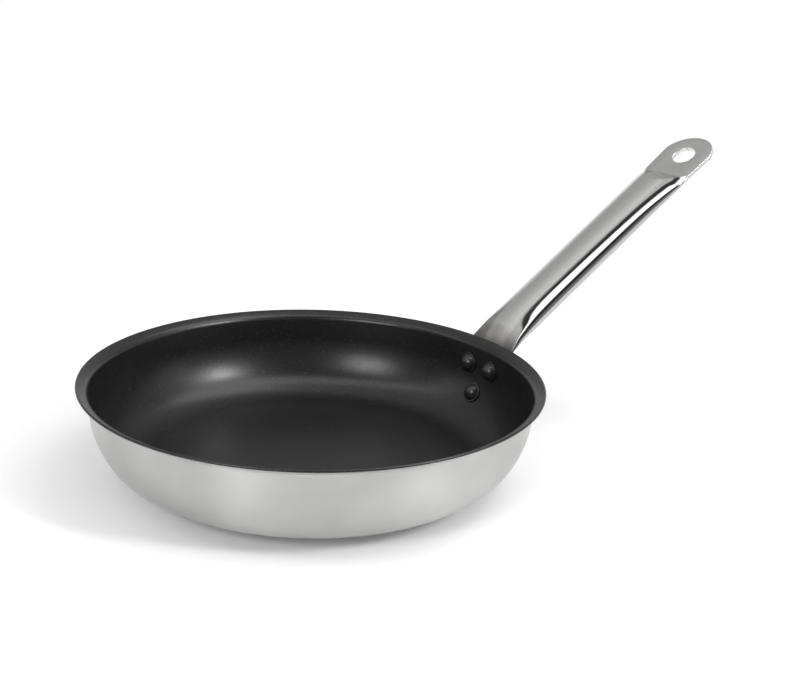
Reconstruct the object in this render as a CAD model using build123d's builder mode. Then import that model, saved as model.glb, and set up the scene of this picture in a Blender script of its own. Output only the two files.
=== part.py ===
from build123d import *
from math import asin, atan2, cos, degrees, radians, sin, tan
import os

# Omelette pan with a riveted tube handle, in millimetres.
# +Z is up, the origin is on the floor under the middle of the bowl, and the handle runs along +X.

# Bowl, pressed from one stainless steel sheet; slopes are angles over the floor, in degrees
rim_radius = 120.0
rim_height = 49.9
sheet_thickness = 1.0
lip_length = 3.8
lip_slope = 29.0
lip_bend_radius = 3.0
wall_slope = 82.5
straight_length = 10.5
corner_radius = 26.0
corner_turn = 57.0

# Non-stick coat on the inside, rolled over the edge of the lip
coat_thickness = 0.3
edge_roll_height = 0.5

# Sandwich base: an aluminium disc in a magnetic steel cap, bonded under the bowl's floor
core_thickness = 3.4
cap_thickness = 0.6
base_inset_width = 5.0
base_edge_radius = 2.2
groove_count = 3
groove_radius = 30.0
groove_pitch = 14.0
groove_width = 1.6
groove_depth = 0.25

# Rivets, measured down the sheet from its edge and across the handle
rivet_drop_length = 16.2
rivet_row_gap = 15.8
rivet_pair_gap = 19.0
shank_radius = 2.5
brim_radius = 5.8
brim_thickness = 1.1
dome_radius = 4.9
dome_height = 3.3
set_head_radius = 4.4
set_head_height = 1.7

# Handle, a steel tube pressed flat at both ends
tube_wall_thickness = 1.2
tube_height = 15.5
flat_width = 35.2
spread_share = 0.34
side_round_share = 0.62
handle_slope = 33.7
foot_slope = 41.7
foot_bend_radius = 6.0
foot_run_length = 18.7
knee_radius = 40.0
lip_clearance_height = 1.0
foot_border_width = 4.6
hang_hole_radius = 7.0
hang_hole_reach_length = 165.4
crease_inset_length = 15.5
tip_border_width = 10.3
tip_shoulder_length = 3.7
tab_taper_width = 0.8
tab_edge_radius = 0.5
tab_root_length = 3.0
tuck_length = 4.0
tuck_share = 0.65
foot_skin_thickness = 0.05
bow_end_share = 0.8
least_space_share = 0.5

# How the tube swells between the rim and the tab: share of its way, share of its full swelling
swell_shares = [
    (0.00, 0.00),
    (0.03, 0.12),
    (0.08, 0.48),
    (0.15, 0.80),
    (0.28, 0.96),
    (0.45, 1.00),
    (0.62, 1.00),
    (0.74, 0.94),
    (0.83, 0.72),
    (0.90, 0.42),
    (0.95, 0.18),
    (1.00, 0.02),
]

# How far cuts run past the faces that they cut
overrun_length = 4.0

# Bowl profile: the rim fixes it, so the wall's large curve and the floor take what is left
base_height = core_thickness + cap_thickness
corner = radians(corner_turn)
wall = radians(wall_slope)
lip = radians(lip_slope)
lip_run = lip_length * cos(lip) + lip_bend_radius * (sin(wall) - sin(lip))
lip_rise = lip_length * sin(lip) + lip_bend_radius * (cos(lip) - cos(wall))
straight_run = straight_length * cos(wall)
straight_rise = straight_length * sin(wall)
corner_run = corner_radius * sin(corner)
corner_rise = corner_radius * (1 - cos(corner))
curve_rise = rim_height - base_height - lip_rise - straight_rise - corner_rise
wall_radius = curve_rise / (cos(corner) - cos(wall))
curve_run = wall_radius * (sin(wall) - sin(corner))
floor_radius = rim_radius - lip_run - straight_run - curve_run - corner_run
lining = sheet_thickness + coat_thickness
flat_height = 2 * tube_wall_thickness

# Edge of the lip: the sheet's outer corner, the coat's upper corner and the peak of its roll
lip_way = Vector(cos(lip), sin(lip))
lip_up = Vector(-sin(lip), cos(lip))
lip_edge = Vector(rim_radius, rim_height)
lip_top = lip_edge + lip_up * lining
roll_peak = lip_edge + lip_up * (lining / 2) + lip_way * edge_roll_height


def draw_wall(gap):
    """Draws the bowl's section from the axis to the rim, a gap inside its outer face."""
    floor_line = Line((0, base_height + gap), (floor_radius, base_height + gap))
    corner_arc = JernArc(floor_line @ 1, floor_line % 1, corner_radius - gap, corner_turn)
    curve_arc = JernArc(
        corner_arc @ 1, corner_arc % 1, wall_radius - gap, wall_slope - corner_turn
    )
    straight = Line(curve_arc @ 1, curve_arc @ 1 + (curve_arc % 1) * straight_length)
    lip_arc = JernArc(
        straight @ 1, straight % 1, lip_bend_radius + gap, lip_slope - wall_slope
    )
    return Line(lip_arc @ 1, lip_arc @ 1 + (lip_arc % 1) * lip_length)


def shell(outer_gap, inner_gap):
    """Solid of revolution between two gaps inside the bowl's outer face."""
    with BuildPart() as turned:
        with BuildSketch(Plane.XZ):
            with BuildLine():
                outer = draw_wall(outer_gap)
                inner = draw_wall(inner_gap)
                Line(outer @ 1, inner @ 1)
                Line((0, base_height + outer_gap), (0, base_height + inner_gap))
            make_face()
        revolve(axis=Axis.Z)
    return turned.part


with BuildLine(Plane.XZ) as outer_wall:
    draw_wall(0)
wall_wire = outer_wall.wire()


def wall_plane(drop):
    """Plane on the bowl's outer face towards the handle, a way down the sheet, facing out."""
    way = wall_wire.length - drop
    climb = wall_wire.tangent_at(way, position_mode=PositionMode.LENGTH)
    return Plane(
        origin=wall_wire.position_at(way, position_mode=PositionMode.LENGTH),
        x_dir=(0, 1, 0),
        z_dir=(climb.Z, 0, -climb.X),
    )


# Rivet rows on the wall, and the turn about the bowl's axis that spreads the upper pair
upper_row = wall_plane(rivet_drop_length)
lower_row = wall_plane(rivet_drop_length + rivet_row_gap)
pair_turn = degrees(asin(rivet_pair_gap / 2 / upper_row.origin.X))
rivet_spots = {
    "rivet_upper_left": (upper_row, pair_turn),
    "rivet_upper_right": (upper_row, -pair_turn),
    "rivet_lower": (lower_row, 0),
}
rivet_hole_length = 2 * (lining + flat_height + overrun_length)


def drill_rivet_holes():
    """Drills the three rivet holes square to the wall."""
    for row, turn in rivet_spots.values():
        with Locations(Location((0, 0, 0), (0, 0, turn))):
            with Locations(row.location):
                Cylinder(shank_radius, rivet_hole_length, mode=Mode.SUBTRACT)


# Bowl
with BuildPart() as pan_body:
    add(shell(0, sheet_thickness))
    drill_rivet_holes()
pan_body.part.label = "pan_body"


# Non-stick coat
with BuildPart() as nonstick_coating:
    add(shell(sheet_thickness, lining))
    with BuildSketch(Plane.XZ):
        with BuildLine():
            ThreePointArc(lip_top, roll_peak, lip_edge)
            Line(lip_edge, lip_top)
        make_face()
    revolve(axis=Axis.Z)
    drill_rivet_holes()
nonstick_coating.part.label = "nonstick_coating"


# Base core
cap_radius = floor_radius - base_inset_width
core_radius = cap_radius - cap_thickness
with BuildPart() as base_core:
    with Locations((0, 0, cap_thickness)):
        Cylinder(core_radius, core_thickness, align=(Align.CENTER, Align.CENTER, Align.MIN))
    fillet(base_core.edges().group_by(Axis.Z)[0], base_edge_radius)
base_core.part.label = "base_core"


# Base cap, a shallow dish round the core, with rings pressed into its underside
with BuildPart() as base_cap:
    Cylinder(cap_radius, base_height, align=(Align.CENTER, Align.CENTER, Align.MIN))
    fillet(base_cap.edges().group_by(Axis.Z)[0], base_edge_radius + cap_thickness)
    add(base_core.part, mode=Mode.SUBTRACT)
    with BuildSketch():
        for ring in range(groove_count):
            ring_radius = groove_radius + ring * groove_pitch
            Circle(ring_radius + groove_width / 2)
            Circle(ring_radius - groove_width / 2, mode=Mode.SUBTRACT)
    extrude(amount=groove_depth, mode=Mode.SUBTRACT)
base_cap.part.label = "base_cap"


# Handle: its middle line leaves the wall, passes under the lip and climbs straight to the tab
wall_way = Vector(cos(wall), sin(wall))
wall_out = Vector(sin(wall), -cos(wall))
foot = radians(foot_slope)
foot_way = Vector(cos(foot), sin(foot))
foot_out = Vector(sin(foot), -cos(foot))
rise = radians(handle_slope)
handle_way = Vector(cos(rise), sin(rise))
under_lip = lip_edge + foot_out * (flat_height / 2 + lip_clearance_height)
straight_top = lip_edge - Vector(lip_run, lip_rise) + wall_out * (flat_height / 2)
to_lip = under_lip - straight_top
foot_corner = straight_top + wall_way * (to_lip.dot(foot_out) / wall_way.dot(foot_out))
foot_bend_reach = foot_bend_radius * tan((wall - foot) / 2)
foot_start = foot_corner - wall_way * (foot_bend_reach + overrun_length)
knee = foot_corner + foot_way * foot_run_length
hang_hole = knee + handle_way * hang_hole_reach_length
handle_corners = [foot_start, foot_corner, knee, hang_hole]
with BuildLine(Plane.XZ) as handle_line:
    FilletPolyline(
        *[(spot.X, spot.Y) for spot in handle_corners],
        radius=[foot_bend_radius, knee_radius],
    )
handle_wire = handle_line.wire()
plate_top = (foot_corner - wall_way * foot_bend_reach).Y
swell_start = overrun_length + foot_bend_reach + (under_lip - foot_corner).length
swell_end = handle_wire.length - crease_inset_length
swell_length = swell_end - swell_start


def handle_plane(way):
    """Plane square to the handle's middle line, with X across the handle and Y to its top."""
    return Plane(
        origin=handle_wire.position_at(way, position_mode=PositionMode.LENGTH),
        x_dir=(0, 1, 0),
        z_dir=handle_wire.tangent_at(way, position_mode=PositionMode.LENGTH),
    )


def draw_oval(half_width, half_height, bow=0.0):
    """Draws an oval with slightly crowned faces and round sides; bow lifts its two sides."""
    side_round = side_round_share * half_height
    reach = half_width - side_round
    crown = (reach**2 + half_height**2 - side_round**2) / (2 * (half_height - side_round))
    lean = atan2(reach, crown - half_height)
    join_x = crown * sin(lean)
    join_y = half_height - crown * (1 - cos(lean))
    lift = bow * (join_x / half_width) ** 2
    tilt = 2 * bow * join_x / half_width**2
    for face in (1, -1):
        slope = tilt - face * tan(lean)
        Spline(
            (-join_x, face * join_y + lift),
            (0, face * half_height),
            (join_x, face * join_y + lift),
            tangents=((1, -slope), (1, slope)),
        )
    for side in (1, -1):
        ThreePointArc(
            (side * join_x, join_y + lift),
            (side * half_width, bow),
            (side * join_x, -join_y + lift),
        )


def swollen_half_sizes(swell):
    """Half width and half height of the tube; it narrows as it swells, as its wall is kept."""
    height = flat_height + (tube_height - flat_height) * swell
    return (flat_width - spread_share * (height - flat_height)) / 2, height / 2


def bow_at(way):
    """How far the bowl's roundness lifts the sides of the flat foot, at a way along it."""
    spot = handle_wire.position_at(way, position_mode=PositionMode.LENGTH)
    climb = handle_wire.tangent_at(way, position_mode=PositionMode.LENGTH)
    return climb.Z * (flat_width / 2) ** 2 / (2 * spot.X)


# Foot of the handle, pressed to the wall around the three rivets
pair_reach = rivet_pair_gap / 2
upper_height = upper_row.origin.Z
lower_height = lower_row.origin.Z
lower_round = set_head_radius + foot_border_width
with BuildPart() as handle_foot:
    add(shell(-flat_height, 0))
    with BuildSketch(Plane.YZ):
        with Locations((pair_reach, upper_height), (-pair_reach, upper_height)):
            Circle(flat_width / 2 - pair_reach)
        with Locations((0, lower_height)):
            Circle(lower_round)
        with Locations((0, plate_top)):
            Rectangle(
                flat_width, plate_top - upper_height, align=(Align.CENTER, Align.MAX)
            )
        make_hull()
    extrude(amount=rim_radius + overrun_length, mode=Mode.INTERSECT)


# Tab at the far end, cut round behind the hanging hole; drawn flat, with the hole's middle at
# the origin, and put in its place with the handle
tab_half = flat_width / 2
tab_root = crease_inset_length + tab_root_length
with BuildPart() as handle_tab:
    with BuildSketch():
        with BuildLine():
            Polyline(
                (tip_shoulder_length, tab_half),
                (-tab_root, tab_half - tab_taper_width),
                (-tab_root, tab_taper_width - tab_half),
                (tip_shoulder_length, -tab_half),
            )
            ThreePointArc(
                (tip_shoulder_length, -tab_half),
                (hang_hole_radius + tip_border_width, 0),
                (tip_shoulder_length, tab_half),
            )
        make_face()
    extrude(amount=flat_height / 2, both=True)
    fillet(handle_tab.faces().sort_by(Axis.Z)[0].edges(), tab_edge_radius)
    fillet(handle_tab.faces().sort_by(Axis.Z)[-1].edges(), tab_edge_radius)


def oval(plane, half_width, half_height, bow=0.0):
    """Oval section of the tube on a plane square to its middle line."""
    with BuildSketch(plane) as section:
        with BuildLine():
            draw_oval(half_width, half_height, bow)
        make_face()
    return section.sketch


def tube_sections(inset=0.0):
    """Sections of the tube from the rim to the tab, an inset inside its outer face.

    Where the tube is pressed nearly flat, the inset leaves no section.
    """
    sections = []
    for way_share, swell in swell_shares:
        way = swell_start + way_share * swell_length
        half_width, half_height = swollen_half_sizes(swell)
        bow = bow_at(way) * max(0, 1 - swell / bow_end_share)
        if half_height - inset > least_space_share * inset:
            plane = handle_plane(way)
            sections.append(oval(plane, half_width - inset, half_height - inset, bow))
    return sections


# Space inside the tube, which the pressed ends shut
with BuildPart() as tube_space:
    loft(tube_sections(tube_wall_thickness))


# Handle: the tube, its pressed ends, then what is cut away.
# At the foot the tube keeps a skin inside the plate, so that no two faces coincide.
foot_ways = [0, overrun_length, overrun_length + foot_bend_radius * (wall - foot) / 2]
foot_half_width = flat_width / 2 - foot_skin_thickness
foot_half_height = flat_height / 2 - foot_skin_thickness
foot_sections = [
    oval(handle_plane(way), foot_half_width, foot_half_height, bow_at(way))
    for way in foot_ways
]
tuck_section = oval(
    handle_plane(swell_end + tuck_length),
    tab_half - tab_taper_width,
    tuck_share * flat_height / 2,
)
tab_plane = Plane(
    origin=(hang_hole.X, 0, hang_hole.Y),
    x_dir=(handle_way.X, 0, handle_way.Y),
    z_dir=(-handle_way.Y, 0, handle_way.X),
)
with BuildPart() as handle:
    loft([*foot_sections, *tube_sections(), tuck_section])
    add(tube_space.part, mode=Mode.SUBTRACT)
    add(handle_foot.part)
    with Locations(tab_plane.location):
        add(handle_tab.part)
        Cylinder(hang_hole_radius, flat_height + overrun_length, mode=Mode.SUBTRACT)
    drill_rivet_holes()
    add(shell(0, lining), mode=Mode.SUBTRACT)
handle.part.label = "handle"


# Rivets: a domed head on a thin brim inside the bowl, a shank, and a low set head outside
grip = shell(-flat_height, lining)
brim_face = -lining - brim_thickness
dome_sphere = (dome_radius**2 + dome_height**2) / (2 * dome_height)
set_sphere = (set_head_radius**2 + set_head_height**2) / (2 * set_head_height)
rivets = {}
for name, (row, turn) in rivet_spots.items():
    with BuildPart() as straight_rivet:
        with BuildSketch(Plane(row.origin, x_dir=row.z_dir, z_dir=row.x_dir)):
            with BuildLine():
                RadiusArc((brim_face - dome_height, 0), (brim_face, dome_radius), dome_sphere)
                Polyline(
                    (brim_face, dome_radius),
                    (brim_face, brim_radius),
                    (0, brim_radius),
                    (0, set_head_radius),
                    (flat_height, set_head_radius),
                )
                RadiusArc(
                    (flat_height, set_head_radius),
                    (flat_height + set_head_height, 0),
                    set_sphere,
                )
                Line((flat_height + set_head_height, 0), (brim_face - dome_height, 0))
            make_face()
        revolve(axis=Axis(row.origin, row.z_dir))
        add(grip, mode=Mode.SUBTRACT)
        with BuildSketch(row.offset(brim_face)):
            Circle(shank_radius)
        extrude(amount=flat_height - brim_face)
    with BuildPart() as rivet:
        add(straight_rivet.part, rotation=(0, 0, turn))
    rivet.part.label = name
    rivets[name] = rivet

parts = {
    "pan_body": pan_body,
    "nonstick_coating": nonstick_coating,
    "base_core": base_core,
    "base_cap": base_cap,
    "handle": handle,
    **rivets,
}
os.makedirs("parts", exist_ok=True)
for name, piece in parts.items():
    export_step(piece.part, "parts/" + name + ".step")
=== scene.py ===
from math import asin, atan2, cos, exp, pi, radians, sin, sqrt, tan, tanh

import bmesh
import bpy
from mathutils import Matrix, Vector


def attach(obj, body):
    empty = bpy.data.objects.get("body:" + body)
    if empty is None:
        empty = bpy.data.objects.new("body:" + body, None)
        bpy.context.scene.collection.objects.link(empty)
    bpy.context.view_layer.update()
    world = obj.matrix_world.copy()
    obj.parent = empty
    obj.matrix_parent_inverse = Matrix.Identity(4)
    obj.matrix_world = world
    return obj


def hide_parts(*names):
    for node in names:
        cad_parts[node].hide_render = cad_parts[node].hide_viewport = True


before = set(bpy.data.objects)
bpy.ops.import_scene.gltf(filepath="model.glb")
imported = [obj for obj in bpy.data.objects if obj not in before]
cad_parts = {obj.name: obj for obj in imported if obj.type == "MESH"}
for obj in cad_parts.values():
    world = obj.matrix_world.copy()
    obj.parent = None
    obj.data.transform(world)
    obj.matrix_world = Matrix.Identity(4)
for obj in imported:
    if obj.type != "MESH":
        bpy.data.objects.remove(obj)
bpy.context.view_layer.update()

# Omelette pan in millimetres, with +Z up, its handle along +X and the origin under the bowl's middle
METRES = 0.001

# Bowl, pressed from one sheet, with slopes as angles over the floor
rim_radius = 120.0
rim_height = 49.9
sheet = 1.0
lip_length = 3.8
lip = radians(29.0)
lip_bend_radius = 3.0
wall = radians(82.5)
straight_length = 10.5
corner_radius = 26.0
corner = radians(57.0)
edge_softness = 0.15

# Non-stick coat, rolled over the edge of the lip
coat = 0.3
edge_roll = 0.5

# Sandwich base
core_thickness = 3.4
cap_thickness = 0.6
base_inset = 5.0
base_edge_radius = 2.2
groove_count = 3
groove_radius = 30.0
groove_pitch = 14.0
groove_width = 1.6
groove_depth = 0.25

# Rivets, measured down the sheet from its edge and across the handle
rivet_drop = 16.2
rivet_row_gap = 15.8
rivet_pair_gap = 19.0
shank_radius = 2.5
brim_radius = 5.8
brim_thickness = 1.1
brim_round = 0.35
dome_radius = 4.9
dome_height = 3.3
set_head_radius = 4.4
set_head_height = 1.7

# Handle, a steel tube pressed flat at both ends
flat_height = 2.4
tube_height = 15.5
flat_width = 35.2
spread_share = 0.34
side_round_share = 0.62
rise = radians(33.7)
foot = radians(41.7)
foot_bend_radius = 6.0
foot_run = 18.7
knee_radius = 40.0
lip_clearance = 1.0
foot_border = 4.6
hole_radius = 7.0
hole_reach = 165.4
tip_border = 10.3
tip_shoulder = 3.7
tab_taper = 0.8
tab_softness = 0.5
tab_overlap = 0.6

# Crease where the tube meets the tab, measured back from the middle of the hanging hole
crease_foot = 19.1
crease_crest = 29.5
crest_height = 6.5
crease_bow = 2.9
crease_bow_reach = 12.0
tube_end_gap = 12.0
swell_end_gap = 15.5

# Tube's round sides, which thin to the tab's edge over the side fall
tab_side_round = 0.9
side_fall = 24.0
side_round_limit = 0.9
thinning_swell = 0.5

# Swelling of the tube between the rim and the crease, in shares of that way and of its height
swell_rise_share = 0.13
swell_rise_power = 1.18
width_fall_share = 0.17
width_fall_power = 1.45
height_loss_share = 0.32
height_loss_reach_share = 0.15
foot_bow_share = 0.8

# Steps of round shapes
turn_steps = 256
arc_steps = 10
groove_steps = 6
rivet_steps = 64
brim_steps = 5
foot_steps = 20
foot_bend_steps = 6
tube_steps = 90
crown_steps = 14
side_steps = 20
tip_steps = 28
softening_steps = 4

# Reaches in which points and levels count as one
merge_reach = 0.0005
tab_merge_reach = 0.002
level_reach = 0.001

# Steps of searches and cuts, the least facet to cut, and the angle up to which faces look smooth
foot_end_step = 0.05
facet_cell = 1.0
facet_area = 3.0
smooth_angle = radians(32)

# Bowl profile, worked out from its rim
base_height = core_thickness + cap_thickness
lining = sheet + coat
lip_run = lip_length * cos(lip) + lip_bend_radius * (sin(wall) - sin(lip))
lip_rise = lip_length * sin(lip) + lip_bend_radius * (cos(lip) - cos(wall))
corner_run = corner_radius * sin(corner)
corner_rise = corner_radius * (1 - cos(corner))
curve_rise = rim_height - base_height - lip_rise - straight_length * sin(wall) - corner_rise
wall_radius = curve_rise / (cos(corner) - cos(wall))
curve_run = wall_radius * (sin(wall) - sin(corner))
floor_radius = rim_radius - lip_run - straight_length * cos(wall) - curve_run - corner_run
cap_radius = floor_radius - base_inset


def way_of(slope):
    """Unit way in the XZ plane at a slope."""
    return Vector((cos(slope), 0, sin(slope)))


def left_of(slope):
    """Unit way square to a slope in the XZ plane, on its left."""
    return Vector((-sin(slope), 0, cos(slope)))


class Pen:
    """Draws a profile in the XZ plane by extruding and spinning one vertex."""

    def __init__(self, mesh, x, z, slope=0.0):
        self.mesh = mesh
        self.slope = slope
        self.tip = bmesh.ops.create_vert(mesh, co=(x, 0, z))["vert"][0]

    def run(self, length):
        self.tip = bmesh.ops.extrude_vert_indiv(self.mesh, verts=[self.tip])["verts"][0]
        bmesh.ops.translate(self.mesh, vec=way_of(self.slope) * length, verts=[self.tip])

    def bend(self, radius, turn, steps=arc_steps):
        side = 1 if turn > 0 else -1
        spun = bmesh.ops.spin(
            self.mesh,
            geom=[self.tip],
            cent=self.tip.co + left_of(self.slope) * radius * side,
            axis=(0, -1, 0),
            angle=turn,
            steps=steps,
        )
        self.tip = next(part for part in spun["geom_last"] if isinstance(part, bmesh.types.BMVert))
        self.slope += turn

    def corner(self, turn):
        self.slope += turn


def tidy_mesh(mesh, reach=merge_reach):
    """Merges the verts that meet and turns the faces outwards."""
    bmesh.ops.remove_doubles(mesh, verts=mesh.verts, dist=reach)
    bmesh.ops.recalc_face_normals(mesh, faces=mesh.faces)


def revolve(mesh, steps=turn_steps):
    """Spins a profile fully about Z."""
    bmesh.ops.spin(
        mesh,
        geom=[*mesh.verts, *mesh.edges],
        cent=(0, 0, 0),
        axis=(0, 0, 1),
        angle=2 * pi,
        steps=steps,
        use_merge=True,
    )
    tidy_mesh(mesh)


def finish_piece(mesh, name, node, material):
    """Makes the piece's object, smooth but for its sharp edges, in place of a CAD node."""
    bmesh.ops.scale(mesh, vec=(METRES, METRES, METRES), verts=mesh.verts)
    data = bpy.data.meshes.new(name)
    mesh.to_mesh(data)
    mesh.free()
    data.shade_smooth()
    data.set_sharp_from_angle(angle=smooth_angle)
    data.materials.append(material)
    piece = bpy.data.objects.new(name, data)
    bpy.context.scene.collection.objects.link(piece)
    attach(piece, "root")
    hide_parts(node)


class Finish:
    """Node tree of one procedural material."""

    def __init__(self, name, color, metallic, roughness):
        self.material = bpy.data.materials.new(name)
        self.material.use_nodes = True
        self.material.diffuse_color = (*color, 1)
        self.tree = self.material.node_tree
        self.shader = self.tree.nodes["Principled BSDF"]
        self.set("Base Color", (*color, 1))
        self.set("Metallic", metallic)
        self.set("Roughness", roughness)

    def set(self, socket, value):
        self.shader.inputs[socket].default_value = value

    def feed(self, socket, source):
        self.tree.links.new(source, self.shader.inputs[socket])

    def node(self, kind, sources=(), **settings):
        made = self.tree.nodes.new(kind)
        for name, value in settings.items():
            setattr(made, name, value)
        for socket, source in dict(sources).items():
            if isinstance(source, bpy.types.NodeSocket):
                self.tree.links.new(source, made.inputs[socket])
            else:
                made.inputs[socket].default_value = source
        return made

    def place(self):
        return self.node("ShaderNodeTexCoord").outputs["Object"]

    def axes(self):
        return self.node("ShaderNodeSeparateXYZ", {"Vector": self.place()}).outputs

    def math(self, operation, first, second=0.0):
        return self.node(
            "ShaderNodeMath", {0: first, 1: second}, operation=operation
        ).outputs["Value"]

    def vector(self, x=0.0, y=0.0, z=0.0):
        return self.node("ShaderNodeCombineXYZ", {"X": x, "Y": y, "Z": z}).outputs["Vector"]

    def noise(self, vector, scale, detail=3.0, roughness=0.55):
        return self.node(
            "ShaderNodeTexNoise",
            {"Vector": vector, "Scale": scale, "Detail": detail, "Roughness": roughness},
        ).outputs["Fac"]

    def spread(self, value, low, high, from_low=0.3, from_high=0.7):
        """Stretches a value between two limits."""
        return self.node(
            "ShaderNodeMapRange",
            {
                "Value": value,
                "From Min": from_low,
                "From Max": from_high,
                "To Min": low,
                "To Max": high,
            },
        ).outputs["Result"]

    def blend(self, share, first, second):
        """Mixes two colours by a share."""
        mix = self.node("ShaderNodeMix", data_type="RGBA")
        self.tree.links.new(share, mix.inputs["Factor"])
        for socket, colour in zip([s for s in mix.inputs if s.type == "RGBA"], (first, second)):
            if isinstance(colour, bpy.types.NodeSocket):
                self.tree.links.new(colour, socket)
            else:
                socket.default_value = (*colour, 1)
        return next(s for s in mix.outputs if s.type == "RGBA")

    def bump(self, height, strength, depth):
        return self.node(
            "ShaderNodeBump",
            {"Height": height, "Strength": strength, "Distance": depth * METRES},
        ).outputs["Normal"]


# Scales of the finishes' patterns, in turns to the metre
bowl_cloud_scale = 28.0
handle_cloud_scale = 160.0
handle_brushing_scales = (90.0, 3500.0)
core_rolling_scales = (60.0, 2500.0)
flake_scale = 2600.0
coat_grain_scale = 1500.0
rivet_grain_scale = 1100.0

# Shade of the bowl's faint clouds, as a share of its colour
bowl_cloud_shade = 0.85

# Handle's finishes: where polish, satin and the painted shade under the lip start and end, their
# colours and roughness
polish_start = 7.5
polish_full = 9.5
tab_satin_fade = 2.0
painted_shade_reach = 9.0
painted_shade_waver = 1.0
flank_color = (0.47, 0.467, 0.46)
top_color = (0.65, 0.645, 0.635)
painted_shade_color = (0.14, 0.129, 0.112)
flank_roughness = 0.04
satin_roughness = 0.2

# Coat's colours, and the limits between which a flake turns from dull to bright
coat_color = (0.005, 0.005, 0.0055)
flake_color = (0.08, 0.08, 0.08)
flake_limits = (0.86, 0.97)


def brushed_round(name, color, roughness, stretch, grain=0.25, length=9.0):
    """Steel brushed in circles round the bowl's axis, with lines of a grain and a length."""
    finish = Finish(name, color, metallic=1.0, roughness=roughness)
    axes = finish.axes()
    radius = finish.math(
        "SQRT",
        finish.math(
            "ADD",
            finish.math("MULTIPLY", axes["X"], axes["X"]),
            finish.math("MULTIPLY", axes["Y"], axes["Y"]),
        ),
    )
    along = 1 / (length * METRES)
    across = finish.math("MULTIPLY", finish.math("ADD", axes["Z"], radius), 1 / (grain * METRES))
    lines = finish.noise(
        finish.vector(
            finish.math("MULTIPLY", axes["X"], along),
            finish.math("MULTIPLY", axes["Y"], along),
            across,
        ),
        1.0,
    )
    cloud = finish.noise(finish.place(), bowl_cloud_scale, detail=2.0)
    finish.feed("Roughness", finish.spread(lines, low=roughness - 0.05, high=roughness + 0.08))
    darker = tuple(part * bowl_cloud_shade for part in color)
    finish.feed("Base Color", finish.blend(finish.spread(cloud, 0.0, 1.0), darker, color))
    finish.feed("Normal", finish.bump(lines, strength=0.25, depth=0.02))
    finish.set("Anisotropic", stretch)
    finish.feed("Tangent", finish.vector(axes["X"], axes["Y"], radius))
    return finish.material


def handle_steel():
    """Steel brushed along the top of the handle, polished on its flanks, with painted shade near the
    rim under the lip.
    """
    finish = Finish("handle_satin", (0.62, 0.62, 0.615), metallic=1.0, roughness=0.2)
    axes = finish.axes()
    along = finish.math(
        "ADD",
        finish.math("MULTIPLY", axes["X"], cos(rise)),
        finish.math("MULTIPLY", axes["Z"], sin(rise)),
    )
    upward = finish.math(
        "SUBTRACT",
        finish.math("MULTIPLY", axes["Z"], cos(rise)),
        finish.math("MULTIPLY", axes["X"], sin(rise)),
    )
    long_scale, fine_scale = handle_brushing_scales
    lines = finish.noise(
        finish.vector(
            finish.math("MULTIPLY", along, long_scale),
            finish.math("MULTIPLY", axes["Y"], fine_scale),
            finish.math("MULTIPLY", upward, fine_scale),
        ),
        1.0,
    )
    side = finish.math("ABSOLUTE", axes["Y"])
    on_top = finish.spread(side, 1.0, 0.0, polish_start * METRES, polish_full * METRES)
    tab_start = (hole.dot(way_of(rise)) - crease_foot) * METRES
    on_tab = finish.spread(along, 0.0, 1.0, tab_start - tab_satin_fade * METRES, tab_start)
    satin = finish.math("MAXIMUM", on_top, on_tab)
    rough = finish.math("ADD", flank_roughness, finish.math("MULTIPLY", satin, satin_roughness))
    finish.feed("Roughness", finish.math("ADD", rough, finish.spread(lines, low=-0.02, high=0.04)))
    finish.feed("Normal", finish.bump(lines, strength=0.1, depth=0.015))
    # Painted shade under the lip: the steel's colour darkens over the last millimetres towards the
    # rim, with a wavering edge
    cloud = finish.noise(finish.place(), handle_cloud_scale, detail=3.0)
    waver = finish.spread(cloud, -painted_shade_waver * METRES, painted_shade_waver * METRES)
    outward = finish.math("ADD", axes["X"], waver)
    painted_shade_end = (rim_radius + painted_shade_reach) * METRES
    unshaded = finish.spread(outward, 0.0, 1.0, rim_radius * METRES, painted_shade_end)
    steel = finish.blend(satin, flank_color, top_color)
    finish.feed("Base Color", finish.blend(unshaded, painted_shade_color, steel))
    finish.set("Anisotropic", 0.3)
    finish.feed("Tangent", finish.vector(-sin(rise), 1.0, cos(rise)))
    return finish.material


def nonstick_finish():
    """Black non-stick coat with a fine metallic sparkle."""
    finish = Finish("nonstick_coat", (0.006, 0.006, 0.0065), metallic=0.0, roughness=0.32)
    place = finish.place()
    flakes = finish.node(
        "ShaderNodeTexVoronoi", {"Vector": place, "Scale": flake_scale}, feature="F1"
    )
    glint = finish.spread(flakes.outputs["Color"], 0.0, 1.0, *flake_limits)
    finish.feed("Base Color", finish.blend(glint, coat_color, flake_color))
    grain = finish.noise(place, coat_grain_scale, detail=2.0)
    finish.feed("Roughness", finish.spread(grain, low=0.28, high=0.38))
    finish.feed("Normal", finish.bump(grain, strength=0.6, depth=0.03))
    finish.set("Specular IOR Level", 0.5)
    return finish.material


def rivet_finish():
    """Glossy black coat on the rivets' heads."""
    finish = Finish("rivet_coat", (0.012, 0.012, 0.013), metallic=0.0, roughness=0.3)
    grain = finish.noise(finish.place(), rivet_grain_scale, detail=2.0)
    finish.feed("Roughness", finish.spread(grain, low=0.26, high=0.36))
    finish.feed("Normal", finish.bump(grain, strength=0.12, depth=0.02))
    finish.set("Specular IOR Level", 0.6)
    return finish.material


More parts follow.
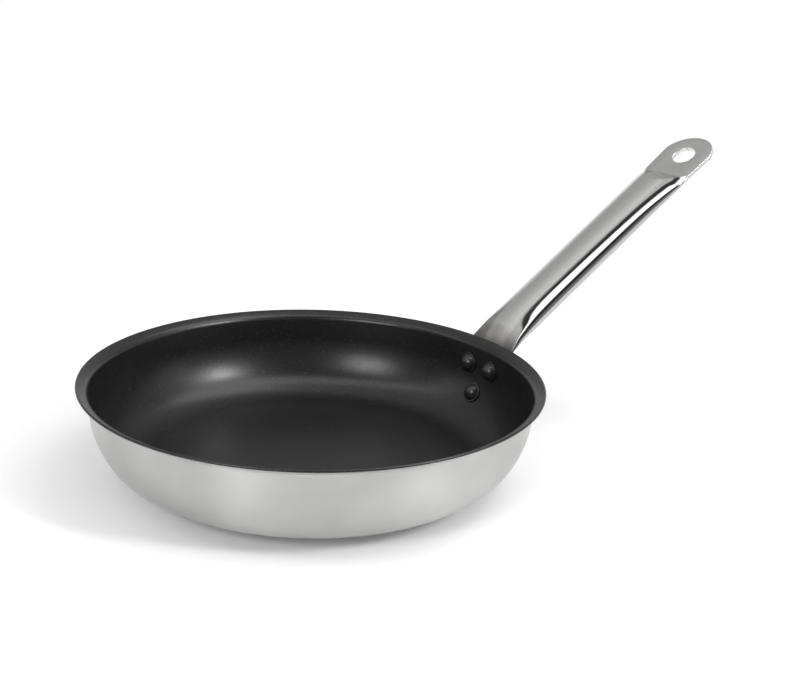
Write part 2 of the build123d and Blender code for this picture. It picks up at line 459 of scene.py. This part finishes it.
def core_finish():
    """Rolled aluminium of the disc inside the base."""
    finish = Finish("core_rolled", (0.78, 0.78, 0.79), metallic=1.0, roughness=0.42)
    axes = finish.axes()
    long_scale, fine_scale = core_rolling_scales
    lines = finish.noise(
        finish.vector(
            finish.math("MULTIPLY", axes["X"], long_scale),
            finish.math("MULTIPLY", axes["Y"], fine_scale),
            finish.math("MULTIPLY", axes["Z"], fine_scale),
        ),
        1.0,
    )
    finish.feed("Roughness", finish.spread(lines, low=0.36, high=0.5))
    finish.feed("Normal", finish.bump(lines, strength=0.2, depth=0.02))
    return finish.material


def draw_wall(mesh, gap):
    """Draws the bowl's section from the axis to the rim, a gap inside its outer face."""
    pen = Pen(mesh, 0.0, base_height + gap)
    pen.run(floor_radius)
    pen.bend(corner_radius - gap, corner, 2 * arc_steps)
    pen.bend(wall_radius - gap, wall - corner, 2 * arc_steps)
    pen.run(straight_length)
    pen.bend(lip_bend_radius + gap, lip - wall)
    pen.run(lip_length)
    return pen.tip


def close_profile(mesh, first, second):
    """Joins two ends of a profile by a straight edge."""
    bmesh.ops.contextual_create(mesh, geom=[first, second])


def make_bowl(material):
    mesh = bmesh.new()
    outer_tip = draw_wall(mesh, 0.0)
    inner_tip = draw_wall(mesh, sheet)
    close_profile(mesh, outer_tip, inner_tip)
    revolve(mesh)
    finish_piece(mesh, "bowl", "pan_body", material)


def make_coat(material):
    mesh = bmesh.new()
    lower_tip = draw_wall(mesh, sheet)
    upper_tip = draw_wall(mesh, lining)
    roll = Pen(mesh, upper_tip.co.x, upper_tip.co.z, lip)
    roll_radius = (lining**2 / 4 + edge_roll**2) / (2 * edge_roll)
    roll_turn = 4 * atan2(edge_roll, lining / 2)
    roll.corner(radians(-90) + roll_turn / 2)
    roll.bend(roll_radius, -roll_turn)
    close_profile(mesh, roll.tip, lower_tip)
    revolve(mesh)
    finish_piece(mesh, "nonstick_lining", "nonstick_coating", material)


def make_cap(material):
    """Dish of the base, with rings pressed into its underside."""
    mesh = bmesh.new()
    half = groove_width / 2
    groove_bend = (half**2 + groove_depth**2) / (2 * groove_depth)
    lean = asin(half / groove_bend)
    pen = Pen(mesh, 0.0, 0.0)
    reached = 0.0
    for ring in range(groove_count):
        start = groove_radius + ring * groove_pitch - half
        pen.run(start - reached)
        reached = start + groove_width
        pen.corner(lean)
        pen.bend(groove_bend, -2 * lean, groove_steps)
        pen.corner(lean)
    pen.run(cap_radius - base_edge_radius - cap_thickness - reached)
    pen.bend(base_edge_radius + cap_thickness, radians(90))
    pen.run(base_height - base_edge_radius - cap_thickness)
    pen.corner(radians(90))
    pen.run(cap_thickness)
    pen.corner(radians(90))
    pen.run(base_height - base_edge_radius - cap_thickness)
    pen.bend(base_edge_radius, radians(-90))
    pen.run(cap_radius - cap_thickness - base_edge_radius)
    revolve(mesh)
    finish_piece(mesh, "base_dish", "base_cap", material)


def bowl_place(drop):
    """Place and slope of the bowl's outer face, a way down the sheet from its edge."""
    place = Vector((rim_radius, 0, rim_height)) - Vector((lip_run, 0, lip_rise))
    lip_way = lip_length + lip_bend_radius * (wall - lip)
    down = drop - lip_way
    place -= way_of(wall) * min(down, straight_length)
    turned = max(0.0, down - straight_length) / wall_radius
    centre = place + left_of(wall) * wall_radius
    slope = wall - turned
    if turned:
        place = centre - left_of(slope) * wall_radius
    return place, slope


upper_place, upper_slope = bowl_place(rivet_drop)
lower_place, lower_slope = bowl_place(rivet_drop + rivet_row_gap)
pair_turn = asin(rivet_pair_gap / 2 / upper_place.x)


def make_rivet(name, place, slope, turn, material):
    """Rivet with a domed head on a rounded brim inside, and a low set head outside."""
    dome_bend = (dome_radius**2 + dome_height**2) / (2 * dome_height)
    dome_lean = asin(dome_radius / dome_bend)
    set_bend = (set_head_radius**2 + set_head_height**2) / (2 * set_head_height)
    set_lean = asin(set_head_radius / set_bend)
    mesh = bmesh.new()
    pen = Pen(mesh, 0.0, lining + brim_thickness + dome_height)
    pen.bend(dome_bend, -dome_lean)
    pen.corner(dome_lean)
    pen.run(brim_radius - brim_round - dome_radius)
    pen.bend(brim_round, radians(-90), brim_steps)
    pen.run(brim_thickness + coat - brim_round)
    pen.corner(radians(-90))
    pen.run(brim_radius - shank_radius)
    pen.corner(radians(90))
    pen.run(sheet + flat_height - edge_softness)
    pen.corner(radians(90))
    pen.run(set_head_radius - shank_radius)
    pen.corner(radians(-90))
    pen.run(edge_softness)
    pen.slope = set_lean - radians(180)
    pen.bend(set_bend, -set_lean)
    bmesh.ops.remove_doubles(mesh, verts=mesh.verts, dist=merge_reach)
    revolve(mesh, rivet_steps)
    inward = Matrix.Rotation(-slope, 4, (0, 1, 0))
    bmesh.ops.transform(
        mesh,
        matrix=Matrix.Rotation(turn, 4, (0, 0, 1)) @ Matrix.Translation(place) @ inward,
        verts=mesh.verts,
    )
    finish_piece(mesh, name + "_head", name, material)


# Handle's middle line: from the foot's end up the wall, under the lip and on to the tab
half_flat = flat_height / 2
lip_edge = Vector((rim_radius, 0, rim_height))
under_lip = lip_edge - left_of(foot) * (half_flat + lip_clearance)
straight_top = lip_edge - Vector((lip_run, 0, lip_rise)) - left_of(wall) * half_flat
lip_gap = (under_lip - straight_top).dot(left_of(foot))
foot_corner = straight_top + way_of(wall) * (lip_gap / way_of(wall).dot(left_of(foot)))
foot_bend_reach = foot_bend_radius * tan((wall - foot) / 2)
knee_reach = knee_radius * tan((foot - rise) / 2)
knee = foot_corner + way_of(foot) * foot_run
hole = knee + way_of(rise) * hole_reach
lower_round = set_head_radius + foot_border
foot_end_height = lower_place.z - lower_round
corner_centre = Vector((floor_radius, 0, base_height + corner_radius))
curve_end = straight_top - way_of(wall) * straight_length
foot_end_drop = corner_centre.z - foot_end_height
foot_end_slope = atan2(sqrt(corner_radius**2 - foot_end_drop**2), foot_end_drop)
foot_start = corner_centre - left_of(foot_end_slope) * (corner_radius + half_flat)
handle_bends = [
    ((corner - foot_end_slope) * (corner_radius + half_flat), 1 / (corner_radius + half_flat)),
    ((wall - corner) * (wall_radius + half_flat), 1 / (wall_radius + half_flat)),
    ((foot_corner - curve_end).length - foot_bend_reach, 0.0),
    ((wall - foot) * foot_bend_radius, -1 / foot_bend_radius),
    (foot_run - foot_bend_reach - knee_reach, 0.0),
    ((foot - rise) * knee_radius, -1 / knee_radius),
    (hole_reach - knee_reach, 0.0),
]
plate_way = sum(length for length, _ in handle_bends[:3])
hole_way = sum(length for length, _ in handle_bends)
swell_start = plate_way + foot_bend_reach + (under_lip - foot_corner).length
crease_way = hole_way - crease_foot
swell_end = hole_way - swell_end_gap


def handle_place(way):
    """Place and slope of the handle's middle line at a way along it."""
    place = foot_start.copy()
    slope = foot_end_slope
    for length, bend in handle_bends:
        step = min(way, length)
        way -= step
        turned = step * bend
        if bend:
            place += (left_of(slope) - left_of(slope + turned)) / bend
        else:
            place += way_of(slope) * step
        slope += turned
    return place + way_of(slope) * way, slope


def swell_at(way):
    """Shares of the tube's full swelling, in width and in height, at a way along the handle."""
    share = min(max((way - swell_start) / (swell_end - swell_start), 0.0), 1.0)
    left = 1 - share
    risen = tanh((share / swell_rise_share) ** swell_rise_power)
    width = risen * tanh((left / width_fall_share) ** width_fall_power)
    height = risen * (1 - height_loss_share * exp(-left / height_loss_reach_share))
    return width, height


def tab_half_width(way):
    """Half width of the tab's tapered sides at a way along the handle."""
    share = (hole_way + tip_shoulder - way) / (tip_shoulder + crease_foot)
    return flat_width / 2 - tab_taper * min(max(share, 0.0), 1.0)


def foot_half_width(height):
    """Half width of the foot's outline at a height: two rounds above, one below, and their hull."""
    reach = rivet_pair_gap / 2
    upper_round = flat_width / 2 - reach
    across = -reach
    down = lower_place.z - upper_place.z
    gap = sqrt(across**2 + down**2)
    turn = atan2(down, across) + (pi - asin((upper_round - lower_round) / gap) - pi / 2)
    normal = Vector((cos(turn), sin(turn)))
    top = upper_place.z + upper_round * normal.y
    bottom = lower_place.z + lower_round * normal.y
    if height >= upper_place.z:
        return flat_width / 2
    if height >= top:
        return reach + sqrt(upper_round**2 - (height - upper_place.z) ** 2)
    if height >= bottom:
        share = (height - bottom) / (top - bottom)
        return lower_round * normal.x * (1 - share) + (reach + upper_round * normal.x) * share
    return sqrt(max(0.0, lower_round**2 - (height - lower_place.z) ** 2))


def join_mesh(mesh, part):
    """Adds another mesh to this one, and returns its new edges."""
    kept = len(mesh.edges)
    data = bpy.data.meshes.new("part")
    part.to_mesh(data)
    part.free()
    mesh.from_mesh(data)
    bpy.data.meshes.remove(data)
    mesh.edges.ensure_lookup_table()
    return mesh.edges[kept:]


def oval_loop(half_width, half_height, side_round, bow, place, slope):
    """Closed loop round the tube: crowned faces, round sides, its sides lifted by a bow."""
    loop = bmesh.new()
    reach = half_width - side_round
    crown = (reach**2 + half_height**2 - side_round**2) / (2 * (half_height - side_round))
    lean = atan2(reach, crown - half_height)
    pen = Pen(loop, 0.0, half_height)
    pen.bend(crown, -lean, crown_steps)
    pen.bend(side_round, 2 * lean - pi, side_steps)
    pen.bend(crown, -2 * lean, 2 * crown_steps)
    pen.bend(side_round, 2 * lean - pi, side_steps)
    pen.bend(crown, -lean, crown_steps)
    first = next(iter(loop.verts))
    bmesh.ops.pointmerge(loop, verts=[first, pen.tip], merge_co=first.co)
    for vert in loop.verts:
        vert.co.z += bow * (vert.co.x / half_width) ** 2
    axes = Matrix.Identity(3)
    axes.col[0] = (0, 1, 0)
    axes.col[1] = way_of(slope)
    axes.col[2] = left_of(slope)
    bmesh.ops.transform(loop, matrix=Matrix.Translation(place) @ axes.to_4x4(), verts=loop.verts)
    return loop


def ring_ways():
    """Ways along the handle where its rings are drawn, from the foot's outline into the tab."""
    first_way = 0.0
    while handle_place(first_way)[0].z < foot_end_height + foot_end_step:
        first_way += foot_end_step
    ways = []
    for step in range(foot_steps + 1):
        ways.append(plate_way - (plate_way - first_way) * cos(0.5 * pi * step / foot_steps))
    bend_end = plate_way + handle_bends[3][0]
    for step in range(1, foot_bend_steps + 1):
        ways.append(plate_way + (bend_end - plate_way) * step / foot_bend_steps)
    for step in range(1, tube_steps + 1):
        ways.append(bend_end + (hole_way - tube_end_gap - bend_end) * step / tube_steps)
    return ways


def handle_ring(way):
    """Ring round the handle at a way along it: foot plate, swelling tube or start of the tab."""
    place, slope = handle_place(way)
    width_swell, height_swell = swell_at(way)
    full_rise = tube_height - flat_height
    height = flat_height + full_rise * height_swell
    half_width = (flat_width - spread_share * full_rise * width_swell) / 2
    if way < plate_way:
        half_width = foot_half_width(place.z)
    if way > hole_way - crease_crest:
        half_width = min(half_width, tab_half_width(way))
    bow = 0.0
    if way < hole_way / 2:
        bow = sin(slope) * half_width**2 / (2 * place.x) * max(0.0, 1 - height_swell / foot_bow_share)
    side_round = min(side_round_share * height / 2, side_round_limit * half_width)
    thinned = 1 - tanh(max(0.0, crease_way - way) / side_fall)
    if height_swell > thinning_swell:
        side_round -= (side_round - tab_side_round) * thinned
    return oval_loop(half_width, height / 2, side_round, bow, place, slope)


def make_handle(material):
    mesh = bmesh.new()
    rings = [join_mesh(mesh, handle_ring(way)) for way in ring_ways()]
    for low, high in zip(rings, rings[1:]):
        bmesh.ops.bridge_loops(mesh, edges=[*low, *high])
    bmesh.ops.holes_fill(mesh, edges=rings[0])
    bmesh.ops.holes_fill(mesh, edges=rings[-1])
    tidy_mesh(mesh)
    cut_crease(mesh)
    add_tab(mesh)
    finish_piece(mesh, "handle_tube", "handle", material)


def handle_matrix():
    """Places a shape drawn round the hole, X along the handle and Z square to the tab."""
    axes = Matrix.Identity(3)
    axes.col[0] = way_of(rise)
    axes.col[1] = (0, 1, 0)
    axes.col[2] = left_of(rise)
    return Matrix.Translation(hole) @ axes.to_4x4()


def slice_facets(mesh, place, way):
    """Cuts the large flat faces at a plane, so that they can bow smoothly."""
    large = [face for face in mesh.faces if face.calc_area() > facet_area]
    edges = {edge for face in large for edge in face.edges}
    verts = {vert for face in large for vert in face.verts}
    bmesh.ops.bisect_plane(mesh, geom=[*verts, *edges, *large], plane_co=place, plane_no=way)


def cut_crease(mesh):
    """Cuts the tube's end to the two slanting faces that run down to the tab."""
    place = handle_matrix()
    bmesh.ops.transform(mesh, matrix=place.inverted(), verts=mesh.verts)
    fall = atan2(crest_height - half_flat, crease_crest - crease_foot)
    for side in (1, -1):
        normal = Vector((sin(fall), 0, side * cos(fall)))
        cut = bmesh.ops.bisect_plane(
            mesh,
            geom=[*mesh.verts, *mesh.edges, *mesh.faces],
            plane_co=(-crease_foot, 0, side * half_flat),
            plane_no=normal,
            clear_outer=True,
        )
        rim = [part for part in cut["geom_cut"] if isinstance(part, bmesh.types.BMEdge)]
        bmesh.ops.holes_fill(mesh, edges=rim)
    tidy_mesh(mesh)
    steps = round(flat_width / 2 / facet_cell)
    for step in range(-steps, steps + 1):
        slice_facets(mesh, (0, step * facet_cell, 0), (0, 1, 0))
    for step in range(round(crease_foot) + 1, round(crease_crest) + 2):
        slice_facets(mesh, (-step * facet_cell, 0, 0), (1, 0, 0))
    for vert in mesh.verts:
        share = (vert.co.y / (flat_width / 2)) ** 2
        near = (vert.co.x + crease_crest + crease_bow_reach) / crease_bow_reach
        vert.co.x += crease_bow * share * min(max(near, 0.0), 1.0)
    bmesh.ops.transform(mesh, matrix=place, verts=mesh.verts)


def tab_loop(inset, level):
    """Closed outline of the tab, drawn in by an inset, at a level over its middle."""
    loop = bmesh.new()
    half = flat_width / 2 - inset
    tip = hole_radius + tip_border - inset
    sagitta = tip - tip_shoulder
    tip_bend = (half**2 + sagitta**2) / (2 * sagitta)
    lean = atan2(half, tip_bend - sagitta)
    root = crease_foot - tab_overlap
    side_length = sqrt((tip_shoulder + root) ** 2 + tab_taper**2)
    side_turn = atan2(tab_taper, tip_shoulder + root)
    pen = Pen(loop, tip, 0.0, radians(90))
    pen.bend(tip_bend, lean, tip_steps)
    pen.slope = radians(180) + side_turn
    for step in range(arc_steps):
        pen.run(side_length / arc_steps)
    pen.slope = radians(270)
    for step in range(2 * arc_steps):
        pen.run((half - tab_taper) / arc_steps)
    pen.slope = -side_turn
    for step in range(arc_steps):
        pen.run(side_length / arc_steps)
    pen.slope = radians(90) - lean
    pen.bend(tip_bend, lean, tip_steps)
    bmesh.ops.remove_doubles(loop, verts=loop.verts, dist=level_reach)
    bmesh.ops.rotate(loop, matrix=Matrix.Rotation(radians(90), 3, "X"), verts=loop.verts)
    bmesh.ops.translate(loop, vec=(0, 0, level), verts=loop.verts)
    return loop


def open_rim(tab, level):
    """Open edges of the tab at a level."""
    return [
        edge
        for edge in tab.edges
        if edge.is_boundary and all(abs(vert.co.z - level) < level_reach for vert in edge.verts)
    ]


def draw_in(tab, ring, radius, level):
    """Extrudes a ring of edges to a circle round the hanging hole, at a level."""
    drawn = bmesh.ops.extrude_edge_only(tab, edges=ring)["geom"]
    for vert in (part for part in drawn if isinstance(part, bmesh.types.BMVert)):
        place = Vector((vert.co.x, vert.co.y, 0)).normalized() * radius
        vert.co = (place.x, place.y, level)


def add_tab(mesh):
    """Flat tab with its hanging hole, both with softened edges."""
    tab = bmesh.new()
    edge = []
    for step in range(softening_steps + 1):
        turn = 0.5 * pi * step / softening_steps
        edge.append((tab_softness * (1 - cos(turn)), half_flat - tab_softness * (1 - sin(turn))))
    side = [(inset, -level) for inset, level in reversed(edge)] + edge
    rings = [join_mesh(tab, tab_loop(inset, level)) for inset, level in side]
    for low, high in zip(rings, rings[1:]):
        bmesh.ops.bridge_loops(tab, edges=[*low, *high])
    ring = open_rim(tab, half_flat)
    low_ring = open_rim(tab, -half_flat)
    for inset, level in reversed(side):
        draw_in(tab, ring, hole_radius + inset, level)
        ring = [each for each in open_rim(tab, level) if each not in low_ring]
    draw_in(tab, low_ring, hole_radius + tab_softness, -half_flat)
    tidy_mesh(tab, tab_merge_reach)
    bmesh.ops.transform(tab, matrix=handle_matrix(), verts=tab.verts)
    join_mesh(mesh, tab)


# Studio as the steel reflects it: degrees up from the backdrop and over the pan, and brightness
studio_bands = [
    (0, 1.0),
    (12, 1.0),
    (18, 0.4),
    (50, 0.48),
    (62, 0.55),
    (72, 0.75),
    (85, 0.95),
    (88, 0.06),
    (94.5, 0.06),
    (96, 2.6),
    (112, 2.6),
    (115, 0.05),
    (134, 0.05),
    (146, 0.28),
    (180, 0.28),
]

# Angles over the floor between which the pale belt at the horizon ends
belt_full = radians(1.0)
belt_end = radians(2.0)

# Floor: reach and fade in metres, gap under the pan in millimetres, and light added where it is seen
stage_reach = 12.0
stage_steps = 96
stage_fade_start = 0.3
stage_fade_end = 0.8
stage_gap = 0.05
stage_color = (0.88, 0.88, 0.88, 1)
stage_roughness = 0.6
stage_gloss = 0.2
stage_lift = 0.07

# Lamps: azimuth from the camera and elevation, then distance, width and height in metres, and watts
softboxes = [
    ("softbox_left", radians(-31), radians(33), 1.6, 0.5, 0.45, 8.6),
    ("softbox_right", radians(66), radians(36), 4.8, 0.65, 1.1, 94.0),
    ("softbox_high", radians(110), radians(62), 2.4, 1.4, 1.4, 14.0),
]

# Camera, as the photograph was taken
camera_place = Vector((-0.3276, -0.5114, 0.2689))
camera_way = Vector((0.5691, 0.7610, -0.3113)).normalized()
camera_roll = radians(2.5)
photo_width = 800
focal_pixels = 1240.0
sensor_width = 36.0


def add_camera():
    data = bpy.data.cameras.new("camera")
    data.sensor_width = sensor_width
    data.lens = focal_pixels * sensor_width / photo_width
    data.clip_start = 0.01
    data.clip_end = 50.0
    camera = bpy.data.objects.new("camera", data)
    level_right = camera_way.cross(Vector((0, 0, 1))).normalized()
    level_up = level_right.cross(camera_way)
    right = level_right * cos(camera_roll) + level_up * sin(camera_roll)
    up = level_up * cos(camera_roll) - level_right * sin(camera_roll)
    turned = Matrix.Identity(3)
    turned.col[0] = right
    turned.col[1] = up
    turned.col[2] = -camera_way
    camera.matrix_world = Matrix.Translation(camera_place) @ turned.to_4x4()
    bpy.context.scene.collection.objects.link(camera)
    bpy.context.scene.camera = camera


def add_softbox(name, azimuth, elevation, distance, width, height, power):
    """Rectangular lamp that looks at the pan; its azimuth runs anticlockwise from the camera."""
    data = bpy.data.lights.new(name, "AREA")
    data.shape = "RECTANGLE"
    data.size = width
    data.size_y = height
    data.energy = power
    lamp = bpy.data.objects.new(name, data)
    toward_camera = atan2(-camera_way.y, -camera_way.x)
    bearing = toward_camera + azimuth
    way = Vector((cos(bearing) * cos(elevation), sin(bearing) * cos(elevation), sin(elevation)))
    lamp.matrix_world = (
        Matrix.Translation(way * distance) @ way.to_track_quat("Z", "Y").to_matrix().to_4x4()
    )
    lamp.visible_camera = False
    bpy.context.scene.collection.objects.link(lamp)


def light_world():
    """Studio round the pan by its bands, with a pale belt at the horizon; the camera sees white."""
    world = bpy.data.worlds.new("studio")
    world.use_nodes = True
    bpy.context.scene.world = world
    tree = world.node_tree
    background = tree.nodes["Background"]
    place = tree.nodes.new("ShaderNodeTexCoord")
    axes = tree.nodes.new("ShaderNodeSeparateXYZ")
    ahead = tree.nodes.new("ShaderNodeVectorMath")
    ahead.operation = "DOT_PRODUCT"
    ahead.inputs[1].default_value = Vector((camera_way.x, camera_way.y, 0)).normalized()
    angle = tree.nodes.new("ShaderNodeMath")
    angle.operation = "ARCTAN2"
    turn = tree.nodes.new("ShaderNodeMath")
    turn.operation = "DIVIDE"
    turn.inputs[1].default_value = pi
    ramp = tree.nodes.new("ShaderNodeValToRGB")
    belt = tree.nodes.new("ShaderNodeMapRange")
    belt.inputs["From Min"].default_value = sin(belt_full)
    belt.inputs["From Max"].default_value = sin(belt_end)
    belt.inputs["To Min"].default_value = 1.0
    belt.inputs["To Max"].default_value = 0.0
    brighter = tree.nodes.new("ShaderNodeMath")
    brighter.operation = "MAXIMUM"
    tree.links.new(place.outputs["Generated"], axes.inputs["Vector"])
    tree.links.new(place.outputs["Generated"], ahead.inputs[0])
    tree.links.new(axes.outputs["Z"], angle.inputs[0])
    tree.links.new(ahead.outputs["Value"], angle.inputs[1])
    tree.links.new(angle.outputs["Value"], turn.inputs[0])
    tree.links.new(turn.outputs["Value"], ramp.inputs["Fac"])
    tree.links.new(axes.outputs["Z"], belt.inputs["Value"])
    tree.links.new(ramp.outputs["Color"], brighter.inputs[0])
    tree.links.new(belt.outputs["Result"], brighter.inputs[1])
    rays = tree.nodes.new("ShaderNodeLightPath")
    seen = tree.nodes.new("ShaderNodeMix")
    seen.inputs["B"].default_value = 1.0
    tree.links.new(rays.outputs["Is Camera Ray"], seen.inputs["Factor"])
    tree.links.new(brighter.outputs["Value"], seen.inputs["A"])
    tree.links.new(seen.outputs["Result"], background.inputs["Color"])
    stops = ramp.color_ramp.elements
    stops[0].position = studio_bands[0][0] / 180
    stops[1].position = studio_bands[-1][0] / 180
    for height, _ in studio_bands[1:-1]:
        stops.new(height / 180)
    for stop, (_, level) in zip(stops, studio_bands):
        stop.color = (level, level, level, 1)


def lay_floor():
    """Pale floor that keeps the pan's shadow and fades to white far off."""
    mesh = bmesh.new()
    bmesh.ops.create_circle(mesh, cap_ends=True, radius=stage_reach, segments=stage_steps)
    bmesh.ops.translate(mesh, vec=(0, 0, -stage_gap * METRES), verts=mesh.verts)
    data = bpy.data.meshes.new("floor")
    mesh.to_mesh(data)
    mesh.free()
    floor = bpy.data.objects.new("floor", data)
    bpy.context.scene.collection.objects.link(floor)
    material = bpy.data.materials.new("pale_floor")
    material.use_nodes = True
    tree = material.node_tree
    shader = tree.nodes["Principled BSDF"]
    shader.inputs["Base Color"].default_value = stage_color
    shader.inputs["Roughness"].default_value = stage_roughness
    shader.inputs["Specular IOR Level"].default_value = stage_gloss
    rays = tree.nodes.new("ShaderNodeLightPath")
    seen = tree.nodes.new("ShaderNodeMath")
    seen.operation = "MAXIMUM"
    shown = tree.nodes.new("ShaderNodeMath")
    shown.operation = "MAXIMUM"
    lift = tree.nodes.new("ShaderNodeMath")
    lift.operation = "MULTIPLY"
    lift.inputs[1].default_value = stage_lift
    tree.links.new(rays.outputs["Is Camera Ray"], seen.inputs[0])
    tree.links.new(rays.outputs["Is Glossy Ray"], seen.inputs[1])
    tree.links.new(seen.outputs["Value"], shown.inputs[0])
    tree.links.new(rays.outputs["Is Transmission Ray"], shown.inputs[1])
    tree.links.new(shown.outputs["Value"], lift.inputs[0])
    tree.links.new(lift.outputs["Value"], shader.inputs["Emission Strength"])
    shader.inputs["Emission Color"].default_value = (1, 1, 1, 1)
    place = tree.nodes.new("ShaderNodeTexCoord")
    length = tree.nodes.new("ShaderNodeVectorMath")
    length.operation = "LENGTH"
    fade = tree.nodes.new("ShaderNodeMapRange")
    fade.inputs["From Min"].default_value = stage_fade_start
    fade.inputs["From Max"].default_value = stage_fade_end
    glow = tree.nodes.new("ShaderNodeEmission")
    mix = tree.nodes.new("ShaderNodeMixShader")
    output = tree.nodes["Material Output"]
    tree.links.new(place.outputs["Object"], length.inputs[0])
    tree.links.new(length.outputs["Value"], fade.inputs["Value"])
    tree.links.new(fade.outputs["Result"], mix.inputs["Fac"])
    tree.links.new(shader.outputs["BSDF"], mix.inputs[1])
    tree.links.new(glow.outputs["Emission"], mix.inputs[2])
    tree.links.new(mix.outputs["Shader"], output.inputs["Surface"])
    data.materials.append(material)


bowl_steel = brushed_round("bowl_satin", (0.54, 0.54, 0.535), roughness=0.35, stretch=0.9)
base_steel = brushed_round(
    "base_turned",
    (0.55, 0.55, 0.545),
    roughness=0.32,
    stretch=0.5,
    grain=0.35,
    length=14.0,
)
make_bowl(bowl_steel)
make_coat(nonstick_finish())
make_cap(base_steel)
rivet_coat = rivet_finish()
make_rivet("rivet_upper_left", upper_place, upper_slope, pair_turn, rivet_coat)
make_rivet("rivet_upper_right", upper_place, upper_slope, -pair_turn, rivet_coat)
make_rivet("rivet_lower", lower_place, lower_slope, 0.0, rivet_coat)
make_handle(handle_steel())

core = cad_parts["base_core"]
core_metal = core_finish()
for slot in core.material_slots:
    slot.material = core_metal

add_camera()
light_world()
lay_floor()
for softbox in softboxes:
    add_softbox(*softbox)
bpy.context.scene.view_settings.view_transform = "Standard"
